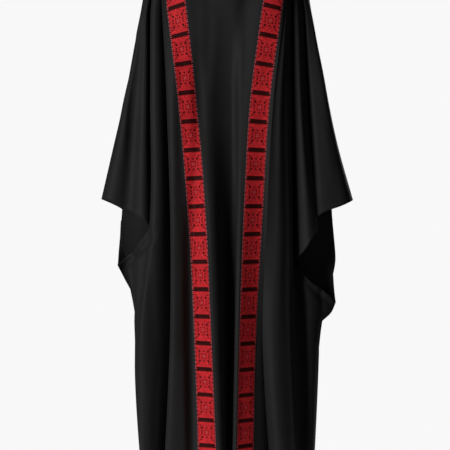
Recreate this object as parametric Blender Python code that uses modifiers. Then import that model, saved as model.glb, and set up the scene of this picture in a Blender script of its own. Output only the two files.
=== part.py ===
"""A wide-sleeved, floor-length abaya, hollow, as it hangs on a standing wearer.

Metres, +Z up, the front faces -Y, and the origin lies between the shoulders at the base of the neck.
Left and right are the wearer's, so left is +X. Each panel is a sheet worked out from its fold lines,
which run down the cloth. A section is drawn across them at each row.
"""

import math

import bmesh
import bpy
from mathutils import Vector

# Cloth and seams
CLOTH = 0.0019
SEAM_GAP = 0.0003
SEAM_FACE = 0.003
BAND_THICKNESS = 0.0011
BAND_LIFT = 0.0004

# Neck and shoulders
NECK_HALF_WIDTH = 0.088
NECK_FRONT, NECK_FRONT_DROP = 0.088, 0.100
NECK_BACK, NECK_BACK_DROP = 0.064, 0.024
NECK_SIDE_TILT, NECK_FRONT_TILT, SHOULDER_END_TILT = 30, 60, 90
NECK_FLARE = 0.45
SHOULDER_HALF_WIDTH = 0.205
SHOULDER_SLOPE, SHOULDER_ROUND = 0.034, 0.036

# Rows: the yoke over chest and shoulders, then level rows from the chest down to the hem
YOKE_ROWS = 6
CHEST_Z, HEM_Z = -0.20, -1.44
LEVELS = (
    CHEST_Z, -0.26, -0.32, -0.38, -0.44, -0.50, -0.56, -0.62, -0.655, -0.70, -0.747, -0.795,
    -0.82, -0.846, -0.90, -0.96, -1.03, -1.10, -1.17, -1.24, -1.31, -1.38, HEM_Z,
)

# Outer lines, where front and back meet. Columns: height, distance from the middle.
EDGE_CELLS = 4
ARM_LINE = {
    "right": (
        (-0.070, 0.205),
        (-0.105, 0.216),
        (-0.150, 0.2225),
        (-0.280, 0.246),
        (-0.400, 0.268),
        (-0.530, 0.298),
        (-0.674, 0.331),
    ),
    "left": (
        (-0.070, 0.205),
        (-0.105, 0.214),
        (-0.150, 0.2205),
        (-0.280, 0.243),
        (-0.400, 0.266),
        (-0.530, 0.294),
        (-0.676, 0.3345),
    ),
}
SIDE_SEAM = {
    "right": (
        (-0.848, 0.289),
        (-0.885, 0.270),
        (-0.935, 0.2455),
        (-1.000, 0.2445),
        (-1.070, 0.242),
        (-1.200, 0.236),
        (-1.340, 0.228),
        (-1.440, 0.222),
    ),
    "left": (
        (-0.946, 0.290),
        (-0.975, 0.277),
        (-1.004, 0.248),
        (-1.090, 0.245),
        (-1.200, 0.241),
        (-1.340, 0.2345),
        (-1.440, 0.229),
    ),
}
# How far back each outer line lies at its two ends
ARM_DEPTHS, SIDE_DEPTHS = (0.000, -0.006), (0.002, 0.012)

# A section crosses a line level where it is round, eased where it is soft and straight on at a flank,
# and it turns there where it is sharp. In every table, cells is the number of cells to the next line.

# Front lines from the wearer's right to left. Columns: name, kind, cells, x at the shoulder seam,
# then (x, y) at the chest, waist, wrist, knee and hem.
FOLD_Z = (CHEST_Z, -0.42, -0.72, -1.02, HEM_Z)
FRONT_LINES = (
    (
        "armpit_right", "sharp", 3, -0.185,
        (-0.2055, -0.020), (-0.2045, -0.022), (-0.201, -0.060), (-0.222, -0.080), (-0.210, -0.100),
    ),
    (
        "underarm_right", "round", 4, -0.176,
        (-0.187, -0.056), (-0.185, -0.078), (-0.183, -0.095), (-0.198, -0.108), (-0.194, -0.127),
    ),
    (
        "side_right", "sharp", 3, -0.168,
        (-0.171, -0.042), (-0.160, -0.050), (-0.1465, -0.055), (-0.1455, -0.066), (-0.158, -0.080),
    ),
    (
        "outer_right", "round", 3, -0.163,
        (-0.160, -0.080), (-0.139, -0.112), (-0.127, -0.122), (-0.125, -0.128), (-0.136, -0.148),
    ),
    (
        "band_right_outer", "soft", 3, -0.157,
        (-0.152, -0.094), (-0.1245, -0.122), (-0.099, -0.124), (-0.084, -0.132), (-0.069, -0.156),
    ),
    (
        "band_right_inner", "flank", 2, -0.101,
        (-0.101, -0.118), (-0.0765, -0.145), (-0.052, -0.151), (-0.038, -0.160), (-0.0205, -0.180),
    ),
    (
        "lip_right", "round", 7, -0.088,
        (-0.070, -0.128), (-0.057, -0.152), (-0.043, -0.157), (-0.031, -0.166), (-0.0135, -0.186),
    ),
    (
        "middle", "round", 7, 0.000,
        (-0.012, -0.132), (-0.036, -0.128), (-0.015, -0.098), (-0.002, -0.088), (0.003, -0.102),
    ),
    (
        "lip_left", "round", 2, 0.088,
        (0.048, -0.129), (0.043, -0.150), (0.034, -0.157), (0.025, -0.170), (0.0165, -0.188),
    ),
    (
        "band_left_inner", "flank", 3, 0.101,
        (0.0885, -0.120), (0.0605, -0.148), (0.043, -0.154), (0.032, -0.168), (0.0225, -0.186),
    ),
    (
        "band_left_outer", "soft", 2, 0.157,
        (0.141, -0.101), (0.112, -0.125), (0.0925, -0.129), (0.0755, -0.134), (0.066, -0.154),
    ),
    (
        "outer_left", "sharp", 3, 0.161,
        (0.147, -0.096), (0.119, -0.118), (0.099, -0.120), (0.088, -0.120), (0.119, -0.126),
    ),
    (
        "thigh_left", "round", 4, 0.168,
        (0.154, -0.098), (0.135, -0.128), (0.130, -0.136), (0.120, -0.146), (0.144, -0.150),
    ),
    (
        "side_left", "sharp", 0, 0.176,
        (0.168, -0.046), (0.170, -0.052), (0.1735, -0.052), (0.179, -0.066), (0.189, -0.088),
    ),
)
BACK_LINES = (
    (
        "back_armpit_right", "flank", 3, -0.193,
        (-0.216, 0.038), (-0.247, 0.052), (-0.272, 0.052), (-0.230, 0.050), (-0.212, 0.062),
    ),
    (
        "back_side_right", "sharp", 3, -0.180,
        (-0.188, 0.050), (-0.200, 0.048), (-0.205, 0.056), (-0.196, 0.070), (-0.184, 0.080),
    ),
    (
        "back_blade_right", "round", 3, -0.163,
        (-0.160, 0.084), (-0.168, 0.100), (-0.170, 0.118), (-0.162, 0.128), (-0.153, 0.142),
    ),
    (
        "back_inner_right", "sharp", 3, -0.128,
        (-0.120, 0.092), (-0.124, 0.094), (-0.126, 0.092), (-0.122, 0.094), (-0.118, 0.100),
    ),
    (
        "back_seat_right", "round", 3, -0.088,
        (-0.074, 0.113), (-0.078, 0.128), (-0.078, 0.146), (-0.074, 0.158), (-0.070, 0.172),
    ),
    (
        "back_middle", "sharp", 3, 0.000,
        (-0.014, 0.112), (-0.010, 0.112), (-0.006, 0.110), (0.000, 0.110), (0.004, 0.116),
    ),
    (
        "back_seat_left", "round", 3, 0.088,
        (0.062, 0.114), (0.066, 0.130), (0.070, 0.148), (0.072, 0.160), (0.076, 0.175),
    ),
    (
        "back_inner_left", "sharp", 3, 0.126,
        (0.112, 0.094), (0.116, 0.096), (0.120, 0.094), (0.122, 0.096), (0.122, 0.103),
    ),
    (
        "back_blade_left", "round", 3, 0.160,
        (0.154, 0.086), (0.162, 0.102), (0.166, 0.120), (0.164, 0.130), (0.160, 0.144),
    ),
    (
        "back_side_left", "sharp", 3, 0.179,
        (0.186, 0.050), (0.198, 0.048), (0.208, 0.056), (0.204, 0.070), (0.192, 0.080),
    ),
    (
        "back_armpit_left", "flank", 0, 0.193,
        (0.215, 0.038), (0.246, 0.052), (0.275, 0.052), (0.237, 0.050), (0.218, 0.062),
    ),
)

# Sleeve lines, from the body outwards. Columns: name, kind, cells, x at the shoulder seam, (x, y) at the
# chest and at the waist, then (x, y, z) at the upper edge of the sleeve's opening.
FRONT_SLEEVES = {
    "right": (
        (
            "sleeve_roll_right", "round", 3, -0.193,
            (-0.2135, -0.040), (-0.222, -0.056), (-0.220, -0.064, -0.716),
        ),
        (
            "sleeve_face_right", "soft", 3, -0.200,
            (-0.223, -0.034), (-0.252, -0.046), (-0.272, -0.052, -0.692),
        ),
    ),
    "left": (
        (
            "underarm_left", "round", 3, 0.184,
            (0.184, -0.058), (0.190, -0.080), (0.212, -0.098, -0.792),
        ),
        (
            "underarm_flank_left", "flank", 2, 0.188,
            (0.194, -0.045), (0.202, -0.056), (0.2345, -0.080, -0.757),
        ),
        (
            "armpit_left", "sharp", 2, 0.192,
            (0.2045, -0.022), (0.213, -0.028), (0.232, -0.067, -0.724),
        ),
        (
            "sleeve_roll_left", "round", 3, 0.196,
            (0.212, -0.038), (0.229, -0.055), (0.252, -0.072, -0.710),
        ),
        (
            "sleeve_face_left", "soft", 3, 0.201,
            (0.220, -0.034), (0.248, -0.052), (0.283, -0.056, -0.698),
        ),
    ),
}
BACK_SLEEVES = {"right": (), "left": ()}

# Lines of the wing under each opening, from the body outwards. Columns: name, kind, cells, (x, y, z) at
# the opening's lower edge, then (x, y) under the arm, at the knee and at the hem.
WING_UNDER_Z = {"right": -0.94, "left": -1.01}
WING_KNEE_Z = -1.15
FRONT_WINGS = {
    "right": (
        (
            "wing_right", "soft", 3,
            (-0.238, -0.034, -0.797), (-0.236, -0.034), (-0.235, -0.040), (-0.220, -0.046),
        ),
    ),
    "left": (
        (
            "hip_left", "soft", 2,
            (0.213, -0.062, -0.884), (0.221, -0.056), (0.221, -0.056), (0.213, -0.066),
        ),
        (
            "wing_crease_left", "flank", 2,
            (0.246, -0.030, -0.908), (0.2465, -0.012), (0.2405, -0.014), (0.2265, -0.020),
        ),
    ),
}
BACK_WINGS = {
    "right": (
        (
            "back_wing_right", "flank", 2,
            (-0.281, 0.034, -0.770), (-0.2425, 0.028), (-0.236, 0.032), (-0.219, 0.036),
        ),
    ),
    "left": (
        (
            "back_wing_left", "flank", 2,
            (0.2865, 0.034, -0.820), (0.2455, 0.028), (0.239, 0.032), (0.226, 0.036),
        ),
    ),
}

# A panel's notch is the level where each sleeve opening's edge reaches the body. below says how the
# section crosses the last body line there and under it.
FRONT = {
    "lines": FRONT_LINES,
    "sleeves": FRONT_SLEEVES,
    "wings": FRONT_WINGS,
    "notch": {"right": -0.747, "left": -0.846},
    "below": {"right": "flank", "left": "soft"},
    "neck": (-NECK_FRONT, -NECK_FRONT_DROP),
    "facing": -1,
}
BACK = {
    "lines": BACK_LINES,
    "sleeves": BACK_SLEEVES,
    "wings": BACK_WINGS,
    "notch": {"right": -0.70, "left": -0.70},
    "below": {"right": "flank", "left": "flank"},
    "neck": (NECK_BACK, -NECK_BACK_DROP),
    "facing": 1,
}
SIDES = {"right": -1, "left": 1}
BANDS = {
    "band_right": ("band_right_outer", "band_right_inner"),
    "band_left": ("band_left_inner", "band_left_outer"),
}

# How sharply the section turns
SOFT_SLOPE = 0.45
SHARP_SQUEEZE = 0.6
SHARP_DEPTH = 1.4
EDGE_SQUEEZE = 0.25

# Finishes: colour, roughness and metallic value
BLACK_CREPE = ((0.011, 0.011, 0.012), 0.82, 0.0)
RED_STITCHING = ((0.50, 0.020, 0.030), 0.75, 0.0)


def hermite(start, start_slope, end, end_slope, t):
    """Value or point at t on the cubic from start to end."""
    rest = 1 - t
    return (
        start * (rest * rest * (1 + 2 * t))
        + start_slope * (rest * rest * t)
        + end * (t * t * (3 - 2 * t))
        - end_slope * (t * t * rest)
    )


def smooth(z, heights, values):
    """Value at height z on a smooth curve through the values at the falling heights."""
    last = len(heights) - 2
    i = min(max(sum(z < height for height in heights) - 1, 0), last)
    steps = [(values[k + 1] - values[k]) / (heights[k + 1] - heights[k]) for k in range(last + 1)]
    start = steps[i] if i == 0 else (steps[i - 1] + steps[i]) / 2
    end = steps[i] if i == last else (steps[i] + steps[i + 1]) / 2
    span = heights[i + 1] - heights[i]
    return hermite(values[i], start * span, values[i + 1], end * span, (z - heights[i]) / span)


def seam_point(table, depths, sign, z, facing):
    """Point of a panel's outer line at height z, one seam face away from the seam."""
    heights, distances = zip(*table)
    x = sign * smooth(z, heights, distances)
    y = depths[0] + (depths[1] - depths[0]) * (z - heights[0]) / (heights[-1] - heights[0])
    return Vector((x, y + facing * SEAM_FACE, z))


def body_point(line, z):
    x, y = smooth(z, FOLD_Z, [Vector(place) for place in line[4:]])
    return Vector((x, y, z))


def sleeve_point(line, z, notch):
    """Point of a sleeve line. Its rows are stretched so that the notch's row ends at the opening."""
    chest, waist, edge = line[4:]
    z = CHEST_Z + (z - CHEST_Z) * (edge[2] - CHEST_Z) / (notch - CHEST_Z)
    heights = (CHEST_Z, FOLD_Z[1], edge[2])
    x, y = smooth(z, heights, [Vector(place[:2]) for place in (chest, waist, edge)])
    return Vector((x, y, z))


def wing_point(line, share, under_z):
    """Point of a wing line, a share of the way from the opening's lower edge to the hem."""
    edge_z = line[3][2]
    z = edge_z + (HEM_Z - edge_z) * share
    heights = (edge_z, under_z, WING_KNEE_Z, HEM_Z)
    x, y = smooth(z, heights, [Vector(place[:2]) for place in line[3:]])
    return Vector((x, y, z))


def outer_knots(panel, side, level, part):
    """Points, kinds and cells from the body outwards, of a sleeve or of the wing under it."""
    sign, facing, notch = SIDES[side], panel["facing"], panel["notch"][side]
    if part == "sleeve":
        end = ARM_LINE[side][-1][0]
        z = CHEST_Z + (level - CHEST_Z) * (end - CHEST_Z) / (notch - CHEST_Z)
        knots = [(sleeve_point(line, level, notch), line[1], line[2]) for line in panel["sleeves"][side]]
        return knots + [(seam_point(ARM_LINE[side], ARM_DEPTHS, sign, z, facing), "edge", EDGE_CELLS)]
    share = (level - notch) / (HEM_Z - notch)
    under_z = WING_UNDER_Z[side]
    knots = [(wing_point(line, share, under_z), line[1], line[2]) for line in panel["wings"][side]]
    start = SIDE_SEAM[side][0][0]
    z = start + (HEM_Z - start) * share
    return knots + [(seam_point(SIDE_SEAM[side], SIDE_DEPTHS, sign, z, facing), "edge", EDGE_CELLS)]


def squeezed(way, squeeze):
    """The direction turned towards straight back, for a section that turns sharply."""
    return Vector((way.x * squeeze, way.y * SHARP_DEPTH, way.z * squeeze))


def slopes_at(before, here, after, kind):
    """Directions in which a section reaches a line and leaves it."""
    reach = (here - before).normalized()
    leave = (after - here).normalized()
    through = (reach + leave).normalized()
    if kind == "sharp":
        return squeezed(reach, SHARP_SQUEEZE), squeezed(leave, SHARP_SQUEEZE)
    share = {"round": 0, "soft": SOFT_SLOPE, "flank": 1}[kind]
    eased = Vector((through.x, through.y * share, through.z)).normalized()
    return eased, eased


def section(knots):
    """Points across the cloth through the knots, from the wearer's right to left."""
    points = [point for point, kind, cells in knots]
    slopes = []
    for i, (point, kind, cells) in enumerate(knots):
        if i == 0:
            way = squeezed((points[1] - point).normalized(), EDGE_SQUEEZE)
            slopes.append((way, way))
        elif i == len(knots) - 1:
            way = squeezed((point - points[i - 1]).normalized(), EDGE_SQUEEZE)
            slopes.append((way, way))
        else:
            slopes.append(slopes_at(points[i - 1], point, points[i + 1], kind))
    found = [points[0]]
    for i, (point, kind, cells) in enumerate(knots[:-1]):
        span = (points[i + 1] - point).length
        for k in range(1, cells + 1):
            leave, reach = slopes[i][1] * span, slopes[i + 1][0] * span
            found.append(hermite(point, leave, points[i + 1], reach, k / cells))
    return found


def row_at(panel, level, parts):
    """One row of the panel: its right outer stretch, its body and its left outer stretch."""
    lines = panel["lines"]
    kinds = [line[1] for line in lines]
    for side, k in (("right", 0), ("left", -1)):
        if level <= panel["notch"][side]:
            kinds[k] = panel["below"][side]
    body = [(body_point(line, level), kind, line[2]) for line, kind in zip(lines, kinds)]
    right = outer_knots(panel, "right", level, parts["right"])
    left = outer_knots(panel, "left", level, parts["left"])
    # An outer line's cells lie on its inner side, and a section wants those on its left-hand side.
    right_knots = right[::-1]
    left_cells = [cells for point, kind, cells in left]
    left_knots = [(point, kind, cells) for (point, kind, _), cells in zip(left, left_cells[1:] + [0])]
    body[-1] = (body[-1][0], body[-1][1], left_cells[0])
    points = section(right_knots + body + left_knots)
    right_count = sum(cells for point, kind, cells in right_knots)
    left_count = sum(left_cells)
    return {
        "right": points[: right_count + 1],
        "body": points[right_count : len(points) - left_count],
        "left": points[len(points) - left_count - 1 :],
    }


def spread(values, cells):
    """The values with the cells between them filled evenly."""
    found = [values[0]]
    for start, end, count in zip(values, values[1:], cells):
        found += [start + (end - start) * k / count for k in range(1, count + 1)]
    return found


def shoulder_places(panel):
    """x at the shoulder seam of each point in a row that crosses both sleeves."""
    right, left = panel["sleeves"]["right"], panel["sleeves"]["left"]
    lines = tuple(reversed(right)) + panel["lines"] + left
    values = [-SHOULDER_HALF_WIDTH] + [line[3] for line in lines] + [SHOULDER_HALF_WIDTH]
    inner = [line[2] for line in panel["lines"][:-1]]
    outer_right = [EDGE_CELLS] + [line[2] for line in reversed(right)]
    outer_left = [line[2] for line in left] + [EDGE_CELLS]
    return spread(values, outer_right + inner + outer_left)


def top_point(panel, x):
    """Point on the shoulder seam or the neckline, and the way the cloth leaves it."""
    facing = panel["facing"]
    depth, drop = panel["neck"]
    if abs(x) <= NECK_HALF_WIDTH:
        along = x / NECK_HALF_WIDTH
        turn = math.cos(along * math.pi / 2)
        across = NECK_HALF_WIDTH * math.sin(along * math.pi / 2)
        tilt = math.radians(NECK_SIDE_TILT + (NECK_FRONT_TILT - NECK_SIDE_TILT) * turn)
        point = Vector((across, facing * SEAM_FACE + depth * turn, drop * turn))
        return point, Vector((NECK_FLARE * along**5, facing * math.cos(tilt), -math.sin(tilt)))
    out = (abs(x) - NECK_HALF_WIDTH) / (SHOULDER_HALF_WIDTH - NECK_HALF_WIDTH)
    tilt = math.radians(NECK_SIDE_TILT + (SHOULDER_END_TILT - NECK_SIDE_TILT) * out**3)
    flare = math.copysign(NECK_FLARE * (1 - out) ** 2, x)
    z = -SHOULDER_SLOPE * out - SHOULDER_ROUND * out**3
    return Vector((x, facing * SEAM_FACE, z)), Vector((flare, facing * math.cos(tilt), -math.sin(tilt)))


def yoke_rows(panel, chest, below):
    """Rows from the shoulder seam and neckline down to the chest, over the round of the shoulders."""
    places = shoulder_places(panel)
    rows = []
    for i in range(YOKE_ROWS):
        share = i / YOKE_ROWS
        row = []
        for x, point, under in zip(places, chest, below):
            start, way = top_point(panel, x)
            span = (point - start).length
            row.append(hermite(start, way * span, point, (under - point).normalized() * span, share))
        for side, k in (("right", 0), ("left", -1)):
            top = ARM_LINE[side][0][0]
            z = top + (CHEST_Z - top) * share
            row[k] = seam_point(ARM_LINE[side], ARM_DEPTHS, SIDES[side], z, panel["facing"])
        rows.append(row)
    return rows


def fill(mesh, top, bottom):
    """Triangles between two rows of vertices."""
    for i in range(len(top) - 1):
        mesh.faces.new((top[i], bottom[i], bottom[i + 1]))
        mesh.faces.new((top[i], bottom[i + 1], top[i + 1]))


def panel_mesh(panel):
    """The panel as an open surface, and its body rows of vertices from shoulder to hem."""
    mesh = bmesh.new()
    rows = []
    for level in LEVELS:
        parts = {side: "sleeve" if level >= panel["notch"][side] else "wing" for side in SIDES}
        found = row_at(panel, level, parts)
        row = {"body": found["body"]}
        for side in SIDES:
            row[side, parts[side]] = found[side]
            if level == panel["notch"][side]:
                row[side, "wing"] = row_at(panel, level, {**parts, side: "wing"})[side]
        rows.append(row)
    count = {side: len(rows[0][side, "sleeve"]) for side in SIDES}
    chest, below = (
        rows[k]["right", "sleeve"] + rows[k]["body"][1:] + rows[k]["left", "sleeve"][1:] for k in (0, 1)
    )
    tops = [
        {
            ("right", "sleeve"): row[: count["right"]],
            "body": row[count["right"] - 1 : len(row) - count["left"] + 1],
            ("left", "sleeve"): row[-count["left"] :],
        }
        for row in yoke_rows(panel, chest, below)
    ]
    rows = [as_vertices(mesh, row) for row in tops + rows]
    for top, bottom in zip(rows, rows[1:]):
        for part in top:
            if part in bottom:
                fill(mesh, top[part], bottom[part])
    for side, k in (("right", 0), ("left", -1)):
        arm = [row[side, "sleeve"][k] for row in rows if (side, "sleeve") in row]
        shoulder = shoulder_vertices(panel, rows[0], side)
        under_arm = [row[side, "wing"][k] for row in rows if (side, "wing") in row]
        add_seam_face(mesh, shoulder + arm, panel["facing"])
        add_seam_face(mesh, under_arm, panel["facing"])
    face_outwards(mesh, panel["facing"])
    return mesh, [row["body"] for row in rows]


def as_vertices(mesh, row):
    """The row's points as vertices. Outer stretches share their inner end with the body."""
    made = {"body": [mesh.verts.new(point) for point in row["body"]]}
    for part, points in row.items():
        if part == "body":
            continue
        if part[0] == "right":
            made[part] = [mesh.verts.new(point) for point in points[:-1]] + [made["body"][0]]
        else:
            made[part] = [made["body"][-1]] + [mesh.verts.new(point) for point in points[1:]]
    return made


def shoulder_vertices(panel, row, side):
    """Vertices of the shoulder seam from the neck to the last before the arm line."""
    ordered = row["right", "sleeve"] + row["body"][1:] + row["left", "sleeve"][1:]
    places = shoulder_places(panel)
    sign = SIDES[side]
    kept = [vert for vert, x in zip(ordered, places) if sign * x >= NECK_HALF_WIDTH - 1e-6]
    return (kept[::-1] if side == "right" else kept)[:-1]


def add_seam_face(mesh, path, facing):
    """A strip along the seam that runs straight back, so that the two panels' edges face each other."""
    shift = Vector((0, -facing * (SEAM_FACE - SEAM_GAP / 2), 0))
    seam = [mesh.verts.new(vert.co + shift) for vert in path]
    fill(mesh, path, seam)


def face_outwards(mesh, facing):
    bmesh.ops.recalc_face_normals(mesh, faces=mesh.faces)
    if sum(face.normal.y * face.calc_area() for face in mesh.faces) * facing < 0:
        bmesh.ops.reverse_faces(mesh, faces=mesh.faces)
    mesh.normal_update()


def column_of(panel, name):
    """Index of a line's vertices in the body rows."""
    count = 0
    for line in panel["lines"]:
        if line[0] == name:
            return count
        count += line[2]
    raise KeyError(name)


def band_mesh(body_rows, first, last):
    """A strip on the front between two of its lines, lifted clear of it."""
    mesh = bmesh.new()
    start, end = column_of(FRONT, first), column_of(FRONT, last)
    rows = []
    for row in body_rows:
        covered = row[start : end + 1]
        rows.append([mesh.verts.new(vert.co + vert.normal * BAND_LIFT) for vert in covered])
    for top, bottom in zip(rows, rows[1:]):
        fill(mesh, top, bottom)
    face_outwards(mesh, FRONT["facing"])
    return mesh


def finish(name, look):
    material = bpy.data.materials.new(name)
    material.use_nodes = True
    colour, roughness, metallic = look
    shader = material.node_tree.nodes["Principled BSDF"]
    shader.inputs["Base Color"].default_value = (*colour, 1)
    shader.inputs["Roughness"].default_value = roughness
    shader.inputs["Metallic"].default_value = metallic
    material.diffuse_color = (*colour, 1)
    return material


def add_cloth(name, mesh, thickness, offset, material):
    """An object with the surface and a wall: offset -1 puts the wall inside it, 1 outside."""
    data = bpy.data.meshes.new(name)
    mesh.to_mesh(data)
    mesh.free()
    data.shade_smooth()
    data.materials.append(material)
    piece = bpy.data.objects.new(name, data)
    bpy.data.collections["abaya"].objects.link(piece)
    wall = piece.modifiers.new("wall", "SOLIDIFY")
    wall.thickness = thickness
    wall.offset = offset
    return piece


def main():
    for old in list(bpy.data.objects):
        bpy.data.objects.remove(old, do_unlink=True)
    bpy.context.scene.collection.children.link(bpy.data.collections.new("abaya"))
    crepe = finish("black_crepe", BLACK_CREPE)
    stitching = finish("red_cross_stitch", RED_STITCHING)
    front, body_rows = panel_mesh(FRONT)
    for name, (first, last) in BANDS.items():
        add_cloth(name, band_mesh(body_rows, first, last), BAND_THICKNESS, 1, stitching)
    add_cloth("front", front, CLOTH, -1, crepe)
    back, _ = panel_mesh(BACK)
    add_cloth("back", back, CLOTH, -1, crepe)


main()
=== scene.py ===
import math
from collections import defaultdict

import bmesh
import bpy
import numpy as np
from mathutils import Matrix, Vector
from mathutils.kdtree import KDTree


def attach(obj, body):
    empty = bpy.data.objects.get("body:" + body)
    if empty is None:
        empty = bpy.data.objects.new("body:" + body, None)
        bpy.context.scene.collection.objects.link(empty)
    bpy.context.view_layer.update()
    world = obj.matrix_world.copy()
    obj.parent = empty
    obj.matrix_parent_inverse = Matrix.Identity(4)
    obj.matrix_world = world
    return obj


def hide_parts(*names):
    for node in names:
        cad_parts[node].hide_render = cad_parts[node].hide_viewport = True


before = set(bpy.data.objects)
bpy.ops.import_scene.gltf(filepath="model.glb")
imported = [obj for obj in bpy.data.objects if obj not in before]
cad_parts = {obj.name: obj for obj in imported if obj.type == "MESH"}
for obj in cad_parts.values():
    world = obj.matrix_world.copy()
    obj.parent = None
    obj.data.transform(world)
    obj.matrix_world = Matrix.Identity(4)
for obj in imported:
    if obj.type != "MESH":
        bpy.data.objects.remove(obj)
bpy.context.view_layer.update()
print("frame loaded")

# Metres throughout. The garment hangs from the shoulders at the origin and faces -Y, the wearer's left is +X.
# Every panel is a sheet drawn through its fold lines, as its solid is, only finer and with some folds moved.
cloth = {
    "acrossCell": 0.0064,  # size of a cell across the cloth
    "downCell": 0.008,     # and down it
    "fewestCells": 3,      # cells between two fold lines, at least
    "cellSpare": 1.06,     # for the cloth's curve between two fold lines
    "widthStep": 0.03,     # how far apart the widths between fold lines are taken
    "bandCells": 16,       # cells across the front under each band
    "yokeRows": 26,        # rows from the shoulder seam to the chest
    "thickness": 0.0008,
    "hemLayers": 2,        # layers of cloth at a turned edge
    "hemDepth": 0.022,     # how wide the hem is turned
    "cuffDepth": 0.012,    # and the cuffs and the neck
    "turnEnd": 1.5,        # depths from the edge to where the second layer has thinned out
    "rimReach": 0.06,      # how far in an edge is felt at all
    "wornAndSheenReach": 0.006,    # how fast the paler edge, partly wear and partly painted sheen, dies out
    "seamFace": 0.003,     # how far a panel stays off the seam before it turns in
    "seamGap": 0.00002,
    "chestZ": -0.20,
    "hemZ": -1.44,
    "softSlope": 0.45,     # how much of the slope a soft fold keeps
    "turnedSlope": 0.3,    # and a turned one
    "turnHandle": 0.45,    # how far a turned fold's steep side leans out
    "sharpSqueeze": 0.6,   # how sharply a crease turns
    "sharpDepth": 1.4,
    "edgeSqueeze": 0.25,
    "notchRise": 1.8,      # how steeply a cuff's edge leaves its inner end
    "notchBlend": 0.09,    # how far under it the crease softens
}
shoulders = {
    "neckHalfWidth": 0.088,
    "halfWidth": 0.205,
    "slope": 0.034,
    "round": 0.036,
    "neckSideTilt": 30,
    "neckFrontTilt": 60,
    "endTilt": 90,
    "neckFlare": 0.45,
    "chestLead": -0.26,  # the level that the yoke's cloth heads for at the chest
}
bandCloth = {
    "across": 12,  # cells of the strip that the bands are sewn on
    "downCell": 0.006,
    "yokeRows": 30,
    "lift": 0.00045,
    "thickness": 0.00035,
}

# Outer lines, where front and back meet: height, distance from the middle
armLine = {
    "right": ((-0.07, 0.205), (-0.105, 0.216), (-0.15, 0.2225), (-0.28, 0.246), (-0.4, 0.268),
              (-0.53, 0.298), (-0.674, 0.331)),
    "left": ((-0.07, 0.205), (-0.105, 0.214), (-0.15, 0.2205), (-0.28, 0.243), (-0.4, 0.266),
             (-0.53, 0.294), (-0.676, 0.3345)),
}
sideSeam = {
    "right": ((-0.848, 0.289), (-0.885, 0.27), (-0.935, 0.2455), (-1, 0.2445), (-1.07, 0.242),
              (-1.2, 0.236), (-1.34, 0.228), (-1.44, 0.222)),
    "left": ((-0.946, 0.29), (-0.975, 0.277), (-1.004, 0.248), (-1.09, 0.245), (-1.2, 0.241),
             (-1.34, 0.2345), (-1.44, 0.229)),
}
armDepths, sideDepths = (0, -0.006), (0.002, 0.012)    # y at each line's two ends
seamLines = {"sleeve": (armLine, armDepths), "wing": (sideSeam, sideDepths)}

# Fold lines from the wearer's right to left: name, kind, x at the shoulder seam,
# then (x, y) at the chest, waist, wrist, knee and hem. A notch line runs into a sleeve opening's inner end.
foldZ = (cloth["chestZ"], -0.42, -0.72, -1.02, cloth["hemZ"])
frontLines = (
    ("armpitRight", "notch", -0.185,
     (-0.203, -0.02), (-0.2005, -0.022), (-0.2, -0.05), (-0.223, -0.08), (-0.214, -0.088)),
    ("underarmRight", "round", -0.176,
     (-0.187, -0.056), (-0.185, -0.078), (-0.184, -0.095), (-0.217, -0.106), (-0.208, -0.114)),
    ("sideRight", "sharp", -0.168,
     (-0.168, -0.042), (-0.156, -0.05), (-0.145, -0.055), (-0.145, -0.06), (-0.164, -0.072)),
    ("outerRight", "turned", -0.163,
     (-0.158, -0.086), (-0.1455, -0.136), (-0.1365, -0.143), (-0.1365, -0.148), (-0.154, -0.163)),
    ("bandRightOuter", "soft", -0.157,
     (-0.152, -0.096), (-0.1245, -0.136), (-0.099, -0.129), (-0.084, -0.13), (-0.069, -0.152)),
    ("bandRightInner", "flank", -0.101,
     (-0.101, -0.112), (-0.0765, -0.127), (-0.052, -0.146), (-0.038, -0.16), (-0.0205, -0.18)),
    ("lipRight", "round", -0.088,
     (-0.073, -0.11), (-0.06, -0.122), (-0.044, -0.151), (-0.033, -0.166), (-0.0155, -0.186)),
    ("middle", "round", 0,
     (0.014, -0.106), (0.012, -0.097), (0.015, -0.092), (0.02, -0.09), (0.0165, -0.104)),
    ("lipLeft", "round", 0.088,
     (0.046, -0.101), (0.037, -0.123), (0.035, -0.154), (0.0295, -0.17), (0.021, -0.188)),
    ("bandLeftInner", "flank", 0.101,
     (0.0885, -0.11), (0.0605, -0.125), (0.043, -0.152), (0.032, -0.168), (0.0225, -0.186)),
    ("bandLeftOuter", "flank", 0.157,
     (0.141, -0.098), (0.112, -0.118), (0.0925, -0.129), (0.0755, -0.134), (0.066, -0.154)),
    ("outerLeft", "sharp", 0.161,
     (0.147, -0.094), (0.12, -0.124), (0.103, -0.131), (0.092, -0.124), (0.115, -0.1)),
    ("thighLeft", "round", 0.168,
     (0.1525, -0.087), (0.135, -0.118), (0.129, -0.127), (0.118, -0.138), (0.144, -0.146)),
    ("thighEdgeLeft", "turned", 0.172,
     (0.158, -0.072), (0.1535, -0.098), (0.159, -0.106), (0.162, -0.114), (0.18, -0.124)),
    ("sideLeft", "notch", 0.176,
     (0.168, -0.042), (0.17, -0.046), (0.1735, -0.042), (0.175, -0.034), (0.188, -0.05)),
)
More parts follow.
